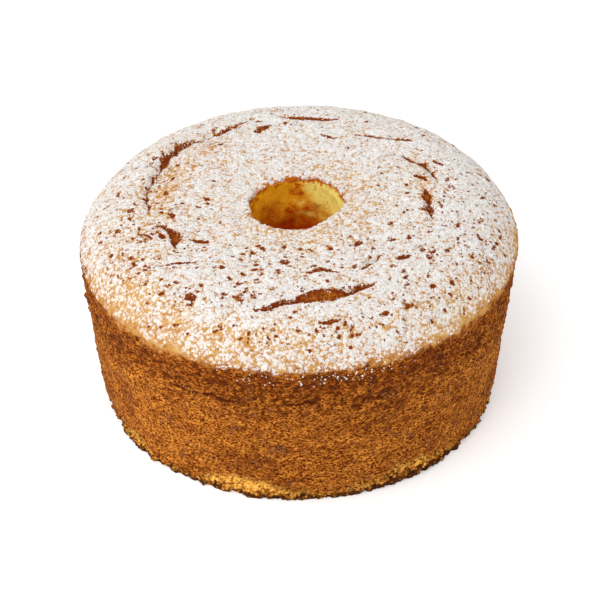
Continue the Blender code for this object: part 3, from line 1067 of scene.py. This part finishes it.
def tornColour(tree, coords, colour, porous):
    c = crustColours
    ragged = remap(tree, texture(tree, coords, 300.0, 3.0, 0.65), 0.25, 0.75, -2.6, 2.6)
    depth = plus(tree, field(tree, "tornEdge"), ragged)
    share = field(tree, "tornShare")
    warm = times(tree, remap(tree, depth, -5.0, -0.5, 0.0, 0.65), share)
    solid = minus(tree, 1.0, larger(tree, porous["Pores"], porous["Gaps"]))
    colour = mixColour(tree, times(tree, warm, solid), colour, c["tornCrumb"])
    crumb = mixColour(tree, remap(tree, depth, 1.2, 3.4), c["tornCrumb"], c["tornMiddle"])
    # the crumb's gaps darker, painted shade
    crumb = mixColour(tree, times(tree, porous["Gaps"], 0.8), crumb, c["tornMiddle"])
    crumb = mixColour(tree, porous["Pores"], crumb, c["tornShade"])
    # painted shade in crevices beneath the torn lip
    holes = remap(tree, texture(tree, coords, 270.0, 4.0, 0.70), 0.53, 0.47)
    creviceShade = times(tree, remap(tree, depth, 0.3, 1.8, 0.60, 1.0), holes)
    crumb = mixColour(tree, creviceShade, crumb, c["tornShade"])
    at = axesOf(tree, coords)
    # painted shade: a dark cavity under the overhanging lip towards the right front
    cavityShade = times(tree, remap(tree, at["X"], 0.026, 0.040), remap(tree, depth, 1.4, 2.2))
    cavityShade = times(tree, cavityShade, remap(tree, texture(tree, coords, 170.0, 3.0, 0.65), 0.56, 0.50))
    crumb = mixColour(tree, times(tree, cavityShade, 0.9), crumb, c["tornShade"])
    colour = mixColour(tree, remap(tree, depth, -0.1, 0.5), colour, crumb)
    low = plus(tree, at["Z"], times(tree, ragged, 0.0008))
    edge = times(tree, remap(tree, low, *heights["footEdge"]),
                 remap(tree, texture(tree, coords, 240.0, 2.0, 0.6), 0.42, 0.50, 0.25, 1.0))
    return mixColour(tree, edge, colour, c["tornShade"])


def holeColour(tree, coords, height):
    c = crustColours
    at = axesOf(tree, coords)
    patch = texture(tree, coords, 75.0, 3.0, 0.6)
    # browner lower down the hole: painted shade deeper in it
    drop = plus(tree, height, times(tree, patch, 0.05))
    colour = mixColour(tree, remap(tree, drop, *heights["holeYellow"]), c["holeBrown"],
                       c["holeYellow"])
    # painted light: the right of the hole's wall made pale, where the lamp on the left falls
    right = plus(tree, at["X"], times(tree, patch, 0.05))
    paintedLightRight = times(tree, remap(tree, right, 0.020, 0.040), remap(tree, height, *heights["holePale"]))
    colour = mixColour(tree, paintedLightRight, colour, c["holePale"])
    blotch = texture(tree, coords, 150.0, 4.0, 0.65)
    # painted highlights: pale spots on the upper wall, most towards the right
    paintedHighlights = times(tree, remap(tree, blotch, 0.53, 0.63, 0.0, 0.75),
                      remap(tree, at["X"], -0.016, 0.012))
    paintedHighlights = times(tree, paintedHighlights, remap(tree, height, *heights["holeSpots"]))
    colour = mixColour(tree, paintedHighlights, colour, c["holePale"])
    colour = mixColour(tree, remap(tree, blotch, 0.46, 0.34, 0.0, 0.8), colour, c["holeBrown"])
    lip = plus(tree, height, times(tree, blotch, 0.012))
    lip = plus(tree, lip, times(tree, texture(tree, coords, 520.0), 0.006))
    return mixColour(tree, remap(tree, lip, *heights["holeLip"]), colour, c["holeLip"])


def smallPits(tree, coords):
    # pits finer than the mesh in two sizes, more of them where the crust is more open
    found = []
    for scale, gain, power, widest in ((300.0, 0.72, 1.0, 0.28), (540.0, 0.52, 2.5, 0.36)):
        distance, chance = cells(tree, warped(tree, coords, 2.1 * scale, 0.78 / scale), scale)
        share = maths(tree, "POWER", field(tree, "pitShare"), power)
        needed = minus(tree, 0.97, times(tree, share, gain))
        width = remap(tree, chance, needed, 1.0, 0.0, widest)
        found.append(remap(tree, minus(tree, width, distance), -0.04, 0.02))
    return times(tree, larger(tree, *found), remap(tree, field(tree, "pitShare"), 0.01, 0.06))


def makeCrustMaterial():
    c = crustColours
    material, tree, shader, coords = newMaterial("cakeCrust")
    height = axesOf(tree, coords)["Z"]
    flattened = stretched(tree, coords, (1.0, 1.0, 1.6))
    porous = useGroup(tree, crumbPores, Vector=flattened, Scale=1.0, Openness=0.45)
    bright = frontLeft(tree, coords, porous["Tone"])
    colour = sideColour(tree, coords, height, porous, bright)
    colour = tornColour(tree, coords, colour, porous)

    risen = plus(tree, height, times(tree, bright, 0.0045))
    risen = plus(tree, risen, times(tree, porous["Tone"], 0.008))
    mottle = texture(tree, coords, 260.0, 4.0, 0.68)
    risen = plus(tree, risen, times(tree, mottle, 0.018))
    onTop = remap(tree, risen, *heights["top"])
    topCrust = mixColour(tree, remap(tree, porous["Tone"], 0.42, 0.60, 0.75, 0.0), c["top"],
                         c["topDark"])
    # painted shade in the gaps between the crumb's walls on the top
    topCrust = mixColour(tree, times(tree, porous["Gaps"], 0.75), topCrust, c["topDark"])
    topCrust = mixColour(tree, times(tree, porous["Pores"], 0.6), topCrust, c["fringe"])
    topCrust = mixColour(tree, remap(tree, risen, *heights["topFringe"], 0.0, 0.7), topCrust,
                         c["fringe"])
    colour = mixColour(tree, onTop, colour, topCrust)
    colour = mixColour(tree, field(tree, "holeWall"), colour, holeColour(tree, coords, height))

    # cracks and pits: dark near their edges, painted shade under the overhanging crust, and
    # lighter crumb further in
    ragged = remap(tree, texture(tree, coords, 560.0, 4.0, 0.68), 0.25, 0.75, -0.70, 0.70)
    depth = plus(tree, field(tree, "openEdge"), ragged)
    pits = smallPits(tree, coords)
    bareMask = larger(tree, remap(tree, depth, -0.45, -0.15), pits)
    openMask = larger(tree, remap(tree, depth, -0.20, 0.10), pits)
    patchy = remap(tree, texture(tree, coords, 330.0, 5.0, 0.7), 0.3, 0.7, -1.6, 1.6)
    paler = plus(tree, depth, patchy)
    inner = mixColour(tree, remap(tree, paler, 0.6, 3.2), c["openDark"], c["openLight"])
    # painted shade in the crumb's gaps within the openings
    inner = mixColour(tree, times(tree, porous["Gaps"], 0.7), inner, c["openDark"])
    inner = mixColour(tree, times(tree, pits, 0.8), inner, c["pit"])
    # painted shade: openings low on the cake, which are the side's splits, turn near black
    inner = mixColour(tree, remap(tree, height, *heights["deepOpening"], 0.0, 0.85), inner,
                      c["poreAndShade"])
    colour = mixColour(tree, times(tree, bareMask, 0.8), colour, c["fringe"])
    colour = mixColour(tree, openMask, colour, inner)

    flecks = remap(tree, texture(tree, coords, 700.0, 2.0, 0.6), 0.56, 0.65, 1.6, 0.46)
    flecks = plus(tree, flecks, remap(tree, depth, 0.4, 1.6, 0.0, 0.6))
    amount = minus(tree, field(tree, "sugar"), times(tree, bareMask, flecks))
    dust = useGroup(tree, sugarDust, Vector=coords, Amount=amount, Grain=1.0)
    lying = times(tree, dust["Cover"], remap(tree, field(tree, "sugar"), 0.01, 0.10))
    sugar = mixColour(tree, dust["Tone"], sugarColours["dull"], sugarColours["bright"])
    colour = mixColour(tree, lying, colour, sugar)
    feed(tree, shader.inputs["Base Color"], colour)
    crumbHeight = times(tree, porous["Height"], minus(tree, 1.0, times(tree, lying, 0.7)))
    sugarHeight = times(tree, times(tree, lying, dust["Height"]), 0.5)
    bumps = minus(tree, plus(tree, crumbHeight, sugarHeight), times(tree, pits, 0.5))
    bumpBy(tree, shader, bumps, "cakeCrust")
    return material


def makeSugarMaterial():
    material, tree, shader, coords = newMaterial("icingSugar")
    dust = useGroup(tree, sugarDust, Vector=coords, Amount=0.9, Grain=0.3)
    colour = mixColour(tree, dust["Tone"], sugarColours["dull"], sugarColours["bright"])
    feed(tree, shader.inputs["Base Color"], colour)
    bumpBy(tree, shader, dust["Height"], "icingSugar")
    return material


def makeCrumbMaterial():
    c = crustColours
    material, tree, shader, coords = newMaterial("tornCrumb")
    porous = useGroup(tree, crumbPores, Vector=coords, Scale=1.5, Openness=0.45)
    at = axesOf(tree, coords)
    patch = texture(tree, coords, 330.0, 3.0, 0.68)
    level = plus(tree, at["Z"], times(tree, patch, 0.036))
    # towards the right front the crumbs sit lower in these bands, so more of them take the painted
    # shade under the lip
    level = minus(tree, level, remap(tree, at["X"], 0.024, 0.038, 0.0, 0.0034))
    colour = mixColour(tree, remap(tree, level, *heights["crumbLight"]), c["tornMiddle"],
                       c["tornCrumb"])
    colour = mixColour(tree, remap(tree, level, *heights["crumbShade"]), colour, c["tornShade"])
    colour = mixColour(tree, porous["Pores"], colour, c["tornShade"])
    feed(tree, shader.inputs["Base Color"], colour)
    bumpBy(tree, shader, porous["Height"], "tornCrumb")
    return material


camera = {
    "distance": 1.380,
    "elevation": 37.16,
    "aim": (0.0004, 0.0, 0.0496),
    "lens": 155.3,
}


def makeCamera():
    data = bpy.data.cameras.new("view")
    data.lens = camera["lens"]
    data.sensor_width = 36.0
    data.clip_end = 20.0
    aim, tip = Vector(camera["aim"]), math.radians(camera["elevation"])
    view = bpy.data.objects.new("view", data)
    view.location = aim + camera["distance"] * Vector((0, -math.cos(tip), math.sin(tip)))
    view.rotation_euler = (math.pi / 2 - tip, 0, 0)
    bpy.context.scene.collection.objects.link(view)
    bpy.context.scene.camera = view


# azimuth counts from +X towards +Y
studio = {
    "sky": 0.87,
    "aim": (0, 0, 0.06),
    "lamps": [
        {"name": "keyLight", "azimuth": 222, "elevation": 44, "distance": 1.7, "size": 1.1,
         "power": 7.0},
        {"name": "frontLight", "azimuth": 258, "elevation": 56, "distance": 1.7, "size": 0.6,
         "power": 6.0},
        {"name": "sideLight", "azimuth": 180, "elevation": 32, "distance": 1.6, "size": 0.9,
         "power": 4.0},
    ],
    "floor": 0.93,
    "floorGlow": 0.20,
}


def makeLights():
    aim = Vector(studio["aim"])
    for plan in studio["lamps"]:
        data = bpy.data.lights.new(plan["name"], "AREA")
        data.shape = "DISK"
        data.size = plan["size"]
        data.energy = plan["power"]
        lamp = bpy.data.objects.new(plan["name"], data)
        turn, tip = math.radians(plan["azimuth"]), math.radians(plan["elevation"])
        toward = Vector((math.cos(turn) * math.cos(tip), math.sin(turn) * math.cos(tip),
                         math.sin(tip)))
        lamp.location = aim + plan["distance"] * toward
        lamp.rotation_euler = toward.to_track_quat("Z", "Y").to_euler()
        bpy.context.scene.collection.objects.link(lamp)
    world = bpy.data.worlds.new("softWhite")
    bpy.context.scene.world = world
    world.use_nodes = True
    sky = world.node_tree.nodes["Background"]
    sky.inputs["Color"].default_value = (1.0, 1.0, 1.0, 1.0)
    sky.inputs["Strength"].default_value = studio["sky"]


def makeFloor():
    sheet = bmesh.new()
    bmesh.ops.create_grid(sheet, x_segments=1, y_segments=1, size=6.0)
    mesh = bpy.data.meshes.new("floor")
    sheet.to_mesh(mesh)
    sheet.free()
    material, _, shader, _ = newMaterial("paleFloor")
    shader.inputs["Base Color"].default_value = (*[studio["floor"]] * 3, 1.0)
    shader.inputs["Emission Color"].default_value = (1.0, 1.0, 1.0, 1.0)
    shader.inputs["Emission Strength"].default_value = studio["floorGlow"]
    mesh.materials.append(material)
    floor = bpy.data.objects.new("floor", mesh)
    bpy.context.scene.collection.objects.link(floor)


bpy.context.scene.view_settings.view_transform = "Standard"
crumbPores, sugarDust = crumbPoresGroup(), sugarDustGroup()
makeCamera()
makeLights()
makeFloor()
dressCake(*makeCake())
